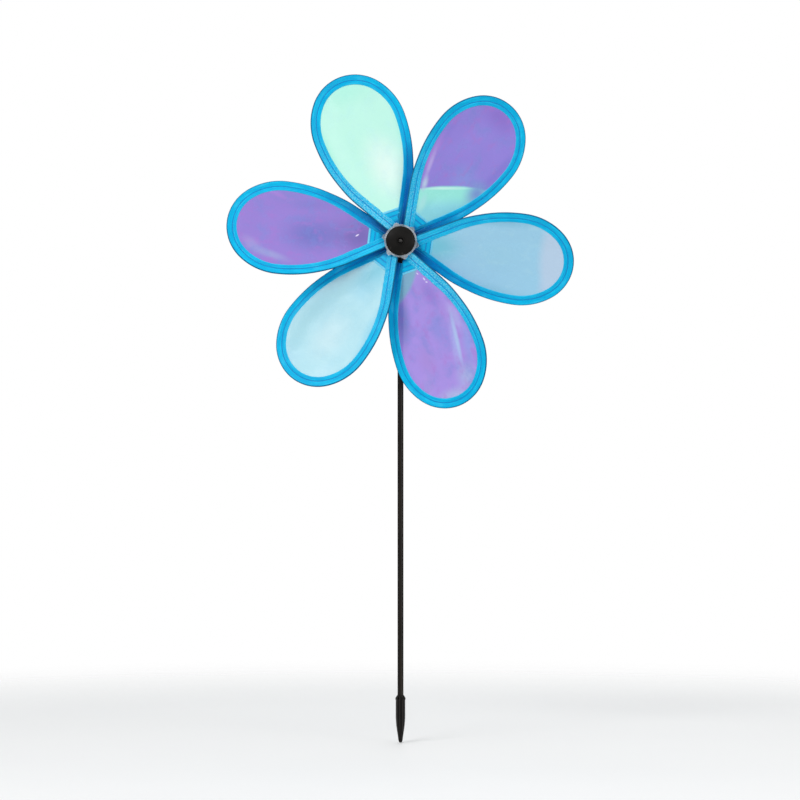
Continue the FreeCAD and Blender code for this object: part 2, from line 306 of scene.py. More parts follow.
def tape_surface(run, across, face, number):
    """A point of the binding's surface. face is 1 in front and -1 behind."""
    point, inward = rim(run)
    reach = point.x
    slack = TAUT + LOOSE * (1 - smooth(30 * MM, 75 * MM, reach))
    width = across / TAPE_WIDTH
    drift = DRIFT * width * slack * wobble(run * 90, 4.0 * width, number * 5.7)
    spread = ROOT_SPREAD * (1 - width) * (1 - smooth(50 * MM, 85 * MM, reach))
    flat = point + inward * (across + drift - spread)
    half = tape_half(across)
    pull = STITCH_PULL * bell(across, SEAM_AT, 1.1 * MM)
    half -= pull * abs(math.sin(math.pi * run / STITCH_PITCH))
    pucker = PUCKER * slack * smooth(SEAM_AT - 1.5 * MM, TAPE_WIDTH, across)
    wave = pucker * math.sin(2 * math.pi * run / (3 * STITCH_PITCH) + 2.0 * wobble(run * 40, number, 0))
    crumple = CRUMPLE * (slack - TAUT) * wobble(run * 420, across * 500, number * 2.0 + face)
    dent = DENT * slack * wobble(run * 150, across * 260, number + 3.0 * face)
    settle = math.sqrt(smooth(0, 1.0 * MM, across))
    lap = math.copysign(LAP, run) * (1 - smooth(22 * MM, 34 * MM, reach))
    return Vector((flat.x, flat.y, face * (half + (dent + crumple) * settle) + wave + lap))


def rounded_end(run, front_end, rear_end):
    """The folded tape thins out over its last millimetre at both ends."""
    left = min(front_end - run, run - rear_end)
    return 0.45 + 0.55 * math.sqrt(smooth(0, 1.6 * MM, left))


def binding_ends(number):
    """Where the binding starts on the rear edge and ends on the forward edge."""
    rear_root = SHORT_ROOT if number == SHORT_PETAL else TAIL_ROOT
    return -run_to(REAR, rear_root), run_to(FORWARD, TAIL_ROOT)


def binding_mesh(number):
    """The folded tape, ring by ring from its rear end round the tip to its forward end."""
    rear_end, front_end = binding_ends(number)
    steps = round((front_end - rear_end) / RING_STEP)
    front = [(across * MM, 1) for across in SECTION_MM] + [(TAPE_WIDTH, 1)]
    back = [(across * MM, -1) for across in reversed(SECTION_MM[1:])]
    rings, uvs = [], []
    for step in range(steps + 1):
        run = rear_end + (front_end - rear_end) * step / steps
        thin = rounded_end(run, front_end, rear_end)
        points = []
        for across, face in front + back:
            spot = tape_surface(run, across, face, number)
            points.append((spot.x, spot.y, spot.z * thin))
            uvs.append((run, across))
        rings.append(points)
    verts, faces = loft(rings)
    return verts, faces, uvs


def hem_point(x, share, face, number):
    """A point of the hem; share runs from -1 to 1 between the two side bindings."""
    rear = straight_edge(REAR, x, TAPE_WIDTH) - HEM_TUCK
    forward = straight_edge(FORWARD, x, TAPE_WIDTH) + HEM_TUCK
    y = rear + (forward - rear) * (share + 1) / 2
    edge = min(x - HEM_BOTTOM, HEM_TOP - x)
    half = HEM_HALF * math.sqrt(smooth(0, 0.8 * MM, edge))
    for seam in HEM_SEAMS:
        half -= 0.12 * MM * bell(x, seam, 0.7 * MM)
    half += 0.07 * MM * wobble(x * 500, y * 400, number + 5.0 * face) * smooth(0, 1 * MM, edge)
    tucked = (1 - abs(share)) * (forward - rear) / 2
    half *= 0.15 + 0.85 * smooth(0, HEM_TUCK + 0.6 * MM, tucked)
    return Vector((x, y, face * max(half, 0.02 * MM)))


def hem_mesh(number):
    """The hem, in rings across it from its rear end to its forward end."""
    stations, columns = 27, 34
    rings, uvs = [], []
    for column in range(columns + 1):
        share = -1 + 2 * column / columns
        ring = []
        for station in range(stations + 1):
            x = HEM_BOTTOM + (HEM_TOP - HEM_BOTTOM) * (1 - math.cos(math.pi * station / stations)) / 2
            ring.append((x, 1))
        ring += [(x, -1) for x, face in reversed(ring[1:-1])]
        points = [hem_point(x, share, face, number) for x, face in ring]
        uvs += [(point.y, point.x - HEM_BOTTOM) for point in points]
        rings.append([tuple(point) for point in points])
    verts, faces = loft(rings)
    return verts, faces, uvs


def stitch_rings(start, end, up):
    """One stitch: a short thread that rises out of its needle hole, lies on the tape and goes down again."""
    sides = 6
    along = end - start
    side = along.normalized().cross(up).normalized()
    rings = []
    for share, height, size in STITCH_PROFILE:
        centre = start + along * share + up * (height * THREAD_RADIUS)
        ring = []
        for corner in range(sides):
            turn = 2 * math.pi * corner / sides
            offset = side * math.cos(turn) + up * math.sin(turn)
            ring.append(tuple(centre + offset * (THREAD_RADIUS * size)))
        rings.append(ring)
    return rings


def stitch_row(verts, faces, spot_at, length, face):
    """A row of stitches along spot_at(distance), which gives a point of the seam on that face."""
    count = max(1, int(length / STITCH_PITCH))
    first = (length - count * STITCH_PITCH + STITCH_PITCH - STITCH_LENGTH) / 2
    up = Vector((0, 0, face))
    for index in range(count):
        begin = first + index * STITCH_PITCH
        ring_verts, ring_faces = loft(stitch_rings(spot_at(begin), spot_at(begin + STITCH_LENGTH), up))
        base = len(verts)
        verts += ring_verts
        faces += [tuple(base + corner for corner in corners) for corners in ring_faces]


def stitching_mesh(number):
    """All the thread on one petal: the binding's seam and the hem's two seams, on both faces."""
    verts, faces = [], []
    rear_end, front_end = binding_ends(number)
    for face in (1, -1):

        def seam(distance):
            return tape_surface(rear_end + distance, SEAM_AT, face, number)

        stitch_row(verts, faces, seam, front_end - rear_end, face)
        for seam_x in HEM_SEAMS:
            rear = straight_edge(REAR, seam_x, TAPE_WIDTH)
            forward = straight_edge(FORWARD, seam_x, TAPE_WIDTH)

            def hem_seam(distance):
                spot = hem_point(seam_x, 0, face, number)
                return Vector((seam_x, rear + distance, spot.z))

            stitch_row(verts, faces, hem_seam, forward - rear, face)
    return verts, faces


# ---------------------------------------------------------------- material tools


class Paint:
    """A Principled material and short ways to add nodes to it."""

    def __init__(self, name, **values):
        self.material = bpy.data.materials.new(name)
        self.material.use_nodes = True
        self.tree = self.material.node_tree
        self.shader = self.tree.nodes["Principled BSDF"]
        for socket, value in values.items():
            self.shader.inputs[socket.replace("_", " ")].default_value = value

    def node(self, kind, settings=None, **inputs):
        made = self.tree.nodes.new("ShaderNode" + kind)
        for setting, value in (settings or {}).items():
            setattr(made, setting, value)
        for socket, value in inputs.items():
            self.put(made.inputs[socket.replace("_", " ")], value)
        return made

    def put(self, socket, value):
        """Link an output into a socket, or set its plain value."""
        if isinstance(value, bpy.types.NodeSocket):
            self.tree.links.new(value, socket)
        else:
            socket.default_value = value

    def place(self):
        """Object coordinates, which on a petal are along, across and out of it, in metres."""
        return self.node("TexCoord").outputs["Object"]

    def cloth(self):
        """Along and across a tape, in metres."""
        return self.node("UVMap", {"uv_map": "Cloth"}).outputs["UV"]

    def part(self, vector, axis):
        return self.node("SeparateXYZ", Vector=vector).outputs[axis]

    def maths(self, kind, first, second=0.0, third=0.0):
        made = self.node("Math", {"operation": kind})
        for socket, value in zip(made.inputs, (first, second, third)):
            self.put(socket, value)
        return made.outputs[0]

    def ramp(self, value, low, high, start=0.0, end=1.0):
        """A smooth step of value from low to high, as a number from start to end."""
        made = self.node("MapRange", {"interpolation_type": "SMOOTHSTEP"}, Value=value)
        for socket, number in zip(("From Min", "From Max", "To Min", "To Max"), (low, high, start, end)):
            made.inputs[socket].default_value = number
        return made.outputs["Result"]

    def band(self, value, centre, spread):
        """1 at the centre, falling smoothly to 0 at that distance on both sides."""
        off = self.maths("ABSOLUTE", self.maths("SUBTRACT", value, centre))
        return self.ramp(off, 0.0, spread, 1.0, 0.0)

    def noise(self, vector, scale, detail=2.0, stretch=(1, 1, 1), roughness=0.5):
        mapped = self.node("Mapping", Vector=vector, Scale=stretch)
        made = self.node("TexNoise", Scale=scale, Detail=detail, Roughness=roughness)
        self.put(made.inputs["Vector"], mapped.outputs[0])
        return made.outputs["Fac"]

    def mix(self, amount, first, second, blend="MIX"):
        made = self.node("Mix", {"data_type": "RGBA", "blend_type": blend})
        self.put(made.inputs["Factor"], amount)
        self.put(made.inputs[6], first)
        self.put(made.inputs[7], second)
        return made.outputs[2]

    def bump(self, height, distance, strength=1.0):
        made = self.node("Bump", Height=height, Distance=distance, Strength=strength)
        self.put(self.shader.inputs["Normal"], made.outputs[0])

    def finish(self, colour, roughness=None):
        self.put(self.shader.inputs["Base Color"], colour)
        if roughness is not None:
            self.put(self.shader.inputs["Roughness"], roughness)
        return self.material


def colour(red, green, blue):
    """A display colour from 0 to 255 as the linear colour that a shader takes."""

    def linear(value):
        share = value / 255
        return share / 12.92 if share <= 0.04045 else ((share + 0.055) / 1.055) ** 2.4

    return (linear(red), linear(green), linear(blue), 1.0)


# ---------------------------------------------------------------- films


# Each wash is a soft patch of colour, standing for the film's iridescent tints together with painted
# reflections of the surroundings; the small pale ones are painted glints and highlight streaks. Its columns:
# centre along and across the petal and its two radii, all in millimetres, its turn in degrees, how soft its
# edge is from 0 to 1, its strength and its colour. Patches at full strength lie over the film's clouds, the
# others under them.
MINT = (
    (198, 250, 233),
    [
        # a painted pale glow of reflected light
        (80, -14, 56, 32, 0, 1.0, 0.95, (232, 255, 245)),
        (34, 0, 34, 22, 0, 1.0, 0.7, (198, 252, 236)),
        (176, 0, 26, 50, 0, 1.0, 0.8, (184, 249, 230)),
        (118, 46, 66, 12, 4, 1.0, 0.9, (170, 244, 222)),
        (118, -46, 66, 11, -4, 1.0, 0.9, (176, 244, 226)),
    ],
)
VIOLET_LEFT = (
    (156, 133, 213),
    [
        (46, 0, 52, 30, 0, 1.0, 0.9, (123, 109, 180)),
        (96, 4, 46, 28, 0, 1.0, 0.8, (114, 122, 196)),
        (104, -30, 40, 10, 4, 1.0, 0.5, (132, 130, 205)),
        (130, -37, 30, 12, 0, 1.0, 0.6, (136, 136, 208)),
        (143, 31, 34, 7, -13, 0.9, 0.75, (162, 168, 218)),
        (162, 22, 20, 10, -30, 1.0, 0.5, (178, 172, 222)),
        (186, 0, 6, 34, 0, 1.0, 0.7, (202, 136, 218)),
        (150, -42, 38, 5, -22, 1.0, 0.6, (190, 134, 218)),
        # a painted glint
        (48, -1, 3.0, 1.1, 40, 0.6, 1.0, (230, 220, 250)),
        (56, -10, 9, 3, 20, 1.0, 0.7, (156, 114, 188)),
    ],
)
TEAL = (
    (170, 218, 229),
    [
        (40, 0, 34, 30, 0, 1.0, 0.9, (118, 196, 216)),
        (66, 0, 24, 26, 0, 1.0, 0.5, (140, 206, 228)),
        (95, 38, 46, 11, 10, 1.0, 0.8, (134, 206, 228)),
        (112, -44, 52, 9, -6, 1.0, 0.8, (140, 204, 220)),
        (132, 4, 44, 28, 0, 1.0, 0.8, (194, 226, 233)),
        (166, 26, 22, 16, -30, 1.0, 0.8, (186, 226, 236)),
        (176, -18, 20, 20, 30, 1.0, 0.7, (160, 210, 227)),
    ],
)
VIOLET_LOW = (
    (174, 150, 230),
    [
        (38, -14, 42, 17.5, -44, 0.3, 1.0, (134, 180, 207)),
        (84, -28, 40, 12, -16, 1.0, 0.9, (128, 134, 204)),
        (66, 12, 26, 14, 10, 1.0, 0.7, (156, 128, 216)),
        (106, 8, 30, 14, 0, 1.0, 0.7, (144, 148, 224)),
        (134, -18, 26, 16, 0, 1.0, 0.7, (174, 144, 218)),
        # this one and the next: a painted highlight streak
        (98, 31, 24, 9, 10, 1.0, 0.8, (188, 182, 240)),
        (128, 20, 42, 7, -9, 0.9, 0.85, (174, 176, 240)),
        (128, 36, 40, 10, -10, 1.0, 0.8, (152, 164, 234)),
        (164, 22, 22, 18, -20, 1.0, 0.9, (174, 186, 232)),
        (182, 0, 16, 30, 0, 1.0, 0.9, (182, 192, 232)),
        (160, -26, 22, 12, -30, 1.0, 0.8, (182, 156, 228)),
        # a painted highlight streak, then three painted glints
        (122, 24, 42, 3.8, -7, 0.9, 1.0, (178, 196, 242)),
        (40, 6, 2.0, 0.9, 30, 0.6, 1.0, (226, 214, 248)),
        (48, 11.5, 2.6, 1.1, 20, 0.6, 1.0, (222, 212, 248)),
        (52, 13, 1.8, 1.0, 60, 0.6, 1.0, (222, 212, 248)),
    ],
)
PALE_BLUE = (
    (160, 210, 236),
    [
        (40, 0, 40, 28, 0, 1.0, 0.9, (118, 202, 222)),
        (110, 42, 56, 12, 4, 1.0, 0.8, (128, 190, 218)),
        (110, -42, 56, 12, -4, 1.0, 0.7, (142, 200, 224)),
        (108, 0, 36, 20, 0, 1.0, 0.5, (158, 210, 232)),
        (199, 0, 50, 95, 9, 0.26, 1.0, (188, 212, 235)),
        (166, -26, 16, 12, 30, 1.0, 0.6, (166, 200, 230)),
    ],
)
VIOLET_TOP = (
    (154, 136, 224),
    [
        (96, -12, 26, 22, 0, 1.0, 0.8, (146, 156, 230)),
        (130, -38, 44, 8, -6, 1.0, 0.7, (136, 126, 216)),
        (128, 38, 40, 9, 0, 1.0, 0.6, (142, 126, 216)),
        (176, 0, 22, 34, 0, 1.0, 0.8, (148, 118, 208)),
        (96, 34, 40, 7, 12, 1.0, 0.8, (180, 136, 222)),
        (50, -27, 90, 40, -51.4, 0.08, 1.0, (160, 240, 227)),
        (44, -31, 84, 37, -51.4, 0.45, 1.0, (146, 222, 232)),
        (94, -34, 22, 17, 0, 1.0, 1.0, (130, 160, 216)),
        # a painted highlight line along the top edge of the mint patch
        (76, -2, 36, 2.6, -51.4, 0.9, 1.0, (204, 252, 240)),
        (86, 29, 26, 3.6, 20, 1.0, 1.0, (186, 170, 232)),
        (66, 20, 13, 5, 24, 1.0, 1.0, (190, 208, 236)),
        (48, 8, 16, 6, 20, 0.9, 1.0, (172, 234, 232)),
        (64, -40, 22, 7, -30, 0.9, 1.0, (166, 246, 226)),
    ],
)
FILM_TINTS_AND_REFLECTIONS = (VIOLET_TOP, MINT, VIOLET_LEFT, TEAL, VIOLET_LOW, PALE_BLUE)
VIOLET_PETALS = (0, 2, 4)

# The clouds and the spots in a film: the colour of each and how strong it is at most
VIOLET_CLOUDS = (((122, 140, 214), 0.4), ((178, 122, 208), 0.35))
PALE_CLOUDS = (((150, 210, 235), 0.10), ((200, 240, 240), 0.10))


def film_dye(look):
    """The film's own colour for a look: less the white that shows through it and lies on it as gloss."""
    veil = 0.06
    red, green, blue = (max(0.0, (value - veil) / (1 - veil)) for value in colour(*look)[:3])
    return (red, green, blue, 1.0)


def lay_reflection_washes(paint, place, drift, tint, washes):
    """Soft elliptical patches of other tints and of painted reflections, glints and highlights, with slightly
    wandering edges, over what is there.
    """
    for x, y, long_radius, wide_radius, turn, softness, strength, patch in washes:
        mapping = paint.node("Mapping", {"vector_type": "TEXTURE"}, Vector=place)
        mapping.inputs["Location"].default_value = (x * MM, y * MM, 0)
        mapping.inputs["Rotation"].default_value = (0, 0, math.radians(turn))
        mapping.inputs["Scale"].default_value = (long_radius * MM, wide_radius * MM, 1)
        reach = paint.node("VectorMath", {"operation": "LENGTH"}, Vector=mapping.outputs[0]).outputs["Value"]
        wander = 0.25 if softness > 0.5 else 0.05
        reach = paint.maths("MULTIPLY_ADD", paint.maths("SUBTRACT", drift, 0.5), wander, reach)
        tint = paint.mix(paint.ramp(reach, 1.0 - softness, 1.0, strength, 0.0), tint, film_dye(patch))
    return tint


def film_material(number):
    """Iridescent film: a ground tint and soft patches of other tints, which carry its colours together with
    painted reflections, glints and highlights, faint clouds and a soap-film gloss.
    """
    ground, washes = FILM_TINTS_AND_REFLECTIONS[number]
    under = [wash for wash in washes if wash[6] < 1]
    over = [wash for wash in washes if wash[6] == 1]
    cloud_look, spot_look = VIOLET_CLOUDS if number in VIOLET_PETALS else PALE_CLOUDS
    paint = Paint(f"iridescent_film_{number + 1}", Alpha=0.95, IOR=1.48, Specular_IOR_Level=0.3)
    paint.shader.inputs["Thin Film Thickness"].default_value = 430.0
    paint.shader.inputs["Thin Film IOR"].default_value = 1.36
    place = paint.place()
    drift = paint.noise(place, 22.0, 2.0)
    clouds = paint.noise(place, 55.0, 4.0, (1.0, 1.0, 1.0), 0.6)
    spots = paint.noise(place, 85.0, 4.0, (0.7, 1.0, 1.0), 0.6)
    tint = lay_reflection_washes(paint, place, drift, film_dye(ground), under)
    tint = paint.mix(paint.ramp(clouds, 0.46, 0.7, 0.0, cloud_look[1]), tint, film_dye(cloud_look[0]))
    tint = paint.mix(paint.ramp(spots, 0.52, 0.72, 0.0, spot_look[1]), tint, film_dye(spot_look[0]))
    tint = lay_reflection_washes(paint, place, drift, tint, over)
    paint.bump(paint.noise(place, 320.0, 3.0), 0.02 * MM, 0.25)
    return paint.finish(tint, paint.ramp(clouds, 0.3, 0.7, 0.2, 0.3))


# ---------------------------------------------------------------- tape and thread

BRIGHT_BLUE = colour(0, 186, 233)
LIGHT_BLUE = colour(8, 199, 243)
PAINTED_SHEEN_BLUE = colour(70, 206, 244)
PALE_HIGHLIGHT_BLUE = colour(124, 214, 242)
MIDDLE_BLUE = colour(0, 164, 220)
SEAM_BLUE = colour(0, 128, 206)
PAINTED_SHADE_BLUE = colour(0, 92, 176)
EDGE_SHADE_BLUE = colour(0, 84, 128)
CORNER_SHADOW_BLUE = colour(0, 44, 104)

# On each petal, how strong the painted crumple highlight on the tape's forward end near the hub is and how
# strong the painted shade on its rear end is, from 0 to 1
ROOT_HIGHLIGHTS = (0.6, 1.0, 0.15, 0.4, 0.9, 0.2)
SHADED_ROOTS = (0.2, 1.0, 0.55, 0.25, 0.25, 0.5)


def blue_cloth(paint, cloth):
    """The tape's own blue: long fine streaks, lighter and darker stretches, and a painted pale sheen on some
    fibres and in patches.
    """
    stretches = paint.noise(cloth, 30.0, 3.0, (1.0, 0.3, 1.0))
    tint = paint.mix(paint.ramp(stretches, 0.4, 0.62), BRIGHT_BLUE, LIGHT_BLUE)
    fibres = paint.noise(cloth, 700.0, 3.0, (0.06, 1.0, 1.0), 0.6)
    tint = paint.mix(paint.ramp(fibres, 0.42, 0.6, 0.55, 0.0), tint, MIDDLE_BLUE)
    tint = paint.mix(paint.ramp(fibres, 0.56, 0.7, 0.0, 0.35), tint, PAINTED_SHEEN_BLUE)
    sheen_patches = paint.noise(cloth, 110.0, 3.0, (0.35, 1.0, 1.0))
    return paint.mix(paint.ramp(sheen_patches, 0.56, 0.72, 0.0, 0.5), tint, PAINTED_SHEEN_BLUE)


def weave(paint, cloth, hatch):
    """The tape's relief: fine ribs across it and an uneven hatch."""
    bands = {"bands_direction": "X"}
    ribs = paint.node("TexWave", bands, Vector=cloth, Scale=700.0, Distortion=1.5, Detail=2.0)
    paint.bump(paint.maths("MULTIPLY_ADD", hatch, 0.6, ribs.outputs["Fac"]), 0.05 * MM, 0.45)


def tape_material(number):
    """Smooth blue binding tape: a dark outer edge, partly the wire showing through and partly painted shade,
    a bright sleeve, a stitched seam and a paler flange with a painted highlight along its inner edge.
    """
    paint = Paint(f"blue_tape_{number + 1}", IOR=1.47, Specular_IOR_Level=0.13)
    cloth = paint.cloth()
    place = paint.place()
    across = paint.part(cloth, "Y")
    x = paint.part(place, "X")
    y = paint.part(place, "Y")
    tint = blue_cloth(paint, cloth)
    hatch = paint.noise(cloth, 900.0, 3.0, (0.5, 1.0, 1.0), 0.7)
    pale = ROOT_HIGHLIGHTS[number]
    # painted highlight: a pale crumpled hatch over the forward end of the tape near the hub
    forward = paint.ramp(y, -4 * MM, 8 * MM)
    forward_root = paint.maths("MULTIPLY", paint.ramp(x, 30 * MM, (100 + 60 * pale) * MM, pale, 0.0), forward)
    crumple_highlight = paint.maths("MULTIPLY", forward_root, paint.ramp(hatch, 0.46, 0.57, 0.0, 0.95))
    tint = paint.mix(crumple_highlight, tint, PALE_HIGHLIGHT_BLUE)
    # painted shade over the rear end of the tape near the hub, strongest on the sleeve
    rear = paint.ramp(y, -8 * MM, 2 * MM, 1.0, 0.0)
    far_shade = paint.ramp(x, 45 * MM, 125 * MM, SHADED_ROOTS[number], 0.0)
    near_shade = paint.ramp(x, 30 * MM, 75 * MM, 0.85, 0.0)
    rear_root = paint.maths("MULTIPLY", paint.maths("MAXIMUM", far_shade, near_shade), rear)
    sleeve = paint.ramp(across, 5.2 * MM, 8.4 * MM, 0.9, 0.45)
    tint = paint.mix(paint.maths("MULTIPLY", rear_root, sleeve), tint, PAINTED_SHADE_BLUE)
    # painted contact shadow at the rear end's root, by the hub
    corner = paint.maths("MULTIPLY", paint.ramp(x, 16 * MM, 40 * MM, 0.75, 0.0), rear)
    tint = paint.mix(corner, tint, CORNER_SHADOW_BLUE)
    groove = paint.band(across, 8.7 * MM, 0.55 * MM)
    tint = paint.mix(paint.maths("MULTIPLY", groove, 0.5), tint, MIDDLE_BLUE)
    seam = paint.band(across, SEAM_AT, 0.9 * MM)
    tint = paint.mix(paint.maths("MULTIPLY", seam, 0.85), tint, SEAM_BLUE)
    # painted highlight along the flange's inner edge
    tint = paint.mix(paint.ramp(across, 10.3 * MM, 11.0 * MM, 0.0, 0.6), tint, PAINTED_SHEEN_BLUE)
    # dark outer edge: partly the wire showing through the tape, partly painted shade
    tint = paint.mix(paint.ramp(across, 0.5 * MM, 1.6 * MM, 0.9, 0.0), tint, EDGE_SHADE_BLUE)
    weave(paint, cloth, hatch)
    return paint.finish(tint, paint.ramp(hatch, 0.3, 0.7, 0.26, 0.48))


def hem_material():
    """The same tape lying across the petal's root, folded in two strips, with a painted highlight along its
    top and painted shade along its bottom.
    """
    paint = Paint("blue_hem_tape", IOR=1.47, Specular_IOR_Level=0.16)
    cloth = paint.cloth()
    up = paint.part(cloth, "Y")
    tint = blue_cloth(paint, cloth)
    fold = HEM_SEAMS[0] - HEM_BOTTOM
    top_seam = HEM_SEAMS[1] - HEM_BOTTOM
    tint = paint.mix(paint.maths("MULTIPLY", paint.band(up, fold, 1.5 * MM), 0.7), tint, SEAM_BLUE)
    tint = paint.mix(paint.maths("MULTIPLY", paint.band(up, top_seam, 0.6 * MM), 0.55), tint, SEAM_BLUE)
    top = HEM_TOP - HEM_BOTTOM
    # painted highlight along the hem's top edge
    tint = paint.mix(paint.ramp(up, top - 2.6 * MM, top - 1.6 * MM, 0.0, 0.9), tint, PALE_HIGHLIGHT_BLUE)
    # painted shade along the hem's bottom, next to the hub
    tint = paint.mix(paint.ramp(up, 0.0, 5.0 * MM, 0.8, 0.0), tint, PAINTED_SHADE_BLUE)
    hatch = paint.noise(cloth, 900.0, 3.0, (1.0, 0.5, 1.0), 0.7)
    weave(paint, cloth, hatch)
    return paint.finish(tint, paint.ramp(hatch, 0.3, 0.7, 0.30, 0.5))


def thread_material():
    """Twisted blue sewing thread."""
    paint = Paint("blue_thread", IOR=1.5, Sheen_Weight=0.3)
    bands = {"bands_direction": "DIAGONAL"}
    strands = paint.node("TexWave", bands, Vector=paint.place(), Scale=1400.0, Distortion=0.6)
    twist = strands.outputs["Fac"]
    tint = paint.mix(twist, colour(0, 92, 168), colour(0, 122, 200))
    paint.bump(twist, 0.03 * MM, 0.5)
    return paint.finish(tint, paint.ramp(twist, 0.0, 1.0, 0.4, 0.6))


# ---------------------------------------------------------------- hard parts


def clear_plastic():
    """Clear moulding with slight flow marks."""
    paint = Paint("clear_plastic", Transmission_Weight=0.65, IOR=1.49)
    flow = paint.noise(paint.place(), 150.0, 2.0, (1.0, 1.0, 0.6))
    tint = paint.mix(paint.ramp(flow, 0.35, 0.65), colour(250, 252, 255), colour(182, 196, 207))
    paint.bump(flow, 0.12 * MM, 0.5)
    return paint.finish(tint, paint.ramp(flow, 0.3, 0.7, 0.10, 0.24))


def black_moulding(name, dark, light, grain):
    """Black moulded plastic: a fine spark-eroded grain and faint handling marks."""
    paint = Paint(name, IOR=1.46, Specular_IOR_Level=0.15)
    place = paint.place()
    cloud = paint.noise(place, 70.0, 4.0)
    pits = paint.noise(place, grain, 2.0)
    tint = paint.mix(paint.ramp(cloud, 0.4, 0.75), dark, light)
    marks = paint.noise(place, 420.0, 2.0, (1.0, 1.0, 0.08))
    tint = paint.mix(paint.ramp(marks, 0.68, 0.78, 0.0, 0.35), tint, colour(70, 66, 62))
    paint.bump(pits, 0.06 * MM, 0.35)
    return paint.finish(tint, paint.ramp(cloud, 0.3, 0.7, 0.4, 0.55))


def spike_material():
    """Black moulded spike: shallow upright flutes with painted highlights along their crests, a little
    scratched.
    """
    paint = Paint("spike_black", IOR=1.46, Specular_IOR_Level=0.16)
    place = paint.place()
    angle = paint.maths("ARCTAN2", paint.part(place, "Y"), paint.part(place, "X"))
    flutes = paint.maths("SINE", paint.maths("MULTIPLY", angle, 10.0))
    cloud = paint.noise(place, 120.0, 3.0, (1.0, 1.0, 0.3))
    tint = paint.mix(paint.ramp(cloud, 0.4, 0.7), colour(7, 6, 5), colour(18, 16, 14))
    # painted highlights: the flute crests are lighter
    tint = paint.mix(paint.ramp(flutes, 0.1, 0.9, 0.0, 0.8), tint, colour(46, 42, 38))
    scratches = paint.noise(place, 620.0, 2.0, (1.0, 1.0, 0.1))
    tint = paint.mix(paint.ramp(scratches, 0.66, 0.78, 0.0, 0.5), tint, colour(84, 80, 76))
    paint.bump(flutes, 0.9 * MM, 0.8)
    return paint.finish(tint, paint.ramp(cloud, 0.3, 0.7, 0.22, 0.36))


def rod_material():
    """Black fibreglass rod: long fine streaks carrying a painted brownish sheen, and a few pale scuffs."""
    paint = Paint("rod_black", IOR=1.5, Specular_IOR_Level=0.2)
    place = paint.place()
    streaks = paint.noise(place, 900.0, 3.0, (1.0, 1.0, 0.02))
    cloud = paint.noise(place, 60.0, 3.0, (1.0, 1.0, 0.3))
    # painted sheen: the streaks run from near black to brown
    tint = paint.mix(paint.ramp(streaks, 0.35, 0.7), colour(12, 10, 8), colour(36, 28, 20))
    tint = paint.mix(paint.ramp(cloud, 0.45, 0.75, 0.0, 0.5), tint, colour(40, 34, 30))
    scuffs = paint.noise(place, 330.0, 2.0, (1.0, 1.0, 0.25))
    tint = paint.mix(paint.ramp(scuffs, 0.74, 0.8, 0.0, 0.6), tint, colour(104, 96, 88))
    paint.bump(streaks, 0.04 * MM, 0.5)
    return paint.finish(tint, paint.ramp(cloud, 0.3, 0.7, 0.28, 0.44))


def drawn_steel():
    """Drawn wire with fine marks along it."""
    paint = Paint("spring_wire", Metallic=1.0)
    marks = paint.noise(paint.place(), 700.0, 3.0)
    tint = paint.mix(marks, colour(92, 94, 98), colour(138, 140, 144))
    paint.bump(marks, 0.02 * MM, 0.4)
    return paint.finish(tint, paint.ramp(marks, 0.3, 0.7, 0.25, 0.42))


def pin_steel():
    """Blackened steel pin with a worn head."""
    paint = Paint("axle_pin_steel", Metallic=1.0)
    marks = paint.noise(paint.place(), 900.0, 3.0)
    tint = paint.mix(paint.ramp(marks, 0.4, 0.7), colour(52, 50, 50), colour(96, 94, 92))
    paint.bump(marks, 0.03 * MM, 0.4)
    return paint.finish(tint, paint.ramp(marks, 0.3, 0.7, 0.28, 0.45))


def nylon():
    """Natural nylon, slightly mottled."""
    paint = Paint("natural_nylon", IOR=1.53, Subsurface_Weight=0.15)
    cloud = paint.noise(paint.place(), 500.0, 3.0)
    tint = paint.mix(cloud, colour(226, 222, 208), colour(206, 202, 188))
    paint.bump(cloud, 0.03 * MM, 0.3)
    return paint.finish(tint, paint.ramp(cloud, 0.3, 0.7, 0.4, 0.55))


# ---------------------------------------------------------------- the object


def build_petal(number, hub, hem_tape, thread):
    """The film, binding, hem and stitching of one petal, riding with the flower."""
    name = f"petal_{number + 1}"
    matrix = petal_matrix(number, hub)
    verts, faces, uvs = binding_mesh(number)
    binding = new_piece(name + "_tape_binding", verts, faces, [tape_material(number)], matrix, uvs)
    verts, faces, uvs = hem_mesh(number)
    hem = new_piece(name + "_tape_hem", verts, faces, [hem_tape], matrix, uvs)
    verts, faces = stitching_mesh(number)
    stitching = new_piece(name + "_stitching", verts, faces, [thread], matrix)
    verts, faces, uvs = film_mesh(number)
    film = new_piece(name + "_film_panel", verts, faces, [film_material(number)], matrix, uvs)
    for piece in (binding, hem, stitching, film):
        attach(piece, "rotor")
    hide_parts(name + "_binding")
    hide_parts(name + "_hem")
    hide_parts(name + "_film")


def dress(node, material):
    node.data.materials.clear()
    node.data.materials.append(material)


def dress_cad_nodes(nodes):
    cap_black = black_moulding("cap_black", colour(13, 12, 10), colour(22, 20, 18), 1400.0)
    head_black = black_moulding("mast_head_black", colour(12, 11, 11), colour(22, 21, 20), 1200.0)
    dress(nodes["hub_body"], clear_plastic())
    dress(nodes["front_cap"], cap_black)
    dress(nodes["axle_pin"], pin_steel())
    dress(nodes["rear_washer"], nylon())
    dress(nodes["mast_head"], head_black)
    dress(nodes["stake_rod"], rod_material())
    dress(nodes["ground_spike"], spike_material())
    wire = drawn_steel()
    for number in range(PETALS):
        dress(nodes[f"petal_{number + 1}_wire"], wire)


# ---------------------------------------------------------------- studio


